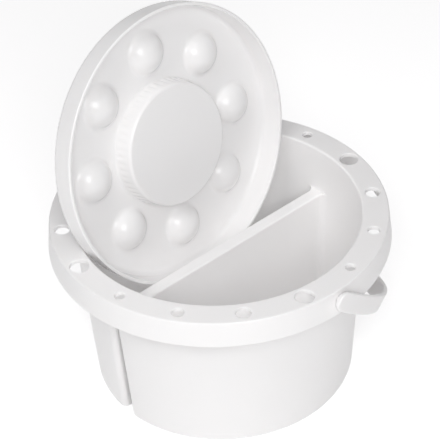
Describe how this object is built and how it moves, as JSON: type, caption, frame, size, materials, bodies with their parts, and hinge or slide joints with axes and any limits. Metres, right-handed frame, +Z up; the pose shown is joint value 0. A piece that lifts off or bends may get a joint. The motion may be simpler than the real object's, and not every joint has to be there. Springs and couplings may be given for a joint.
{
  "type": "brush washer cup",
  "caption": "Round divided tub with graded brush holes in its flanged rim, a swinging bail handle, and a palette lid with wells stood in the rear basin.",
  "frame": {"origin": "on the tub's axis, in the plane the tub stands on", "axes": "+X along the divider towards the side where the handle hangs, +Y towards the rear basin with the lid, +Z up"},
  "size_m": [0.1728, 0.1794, 0.195],
  "materials": {
    "white_plastic": "satin"
  },
  "bodies": {
    "tub": {"rim": "white_plastic", "front_basin": "white_plastic", "rear_basin": "white_plastic"},
    "lid": {"palette_lid": "white_plastic"},
    "handle": {"handle": "white_plastic"}
  },
  "joints": [
    {"name": "handle_swing", "type": "hinge", "parent": "tub", "child": "handle", "pos_m": [0, 0, 0.089], "axis": [0, -1, 0], "range_deg": [0, 70]},
    {"name": "lid_lift", "type": "slide", "parent": "tub", "child": "lid", "axis": [-0.0158, 0.2352, 0.9718], "range_m": [0, 0.08]}
  ]
}
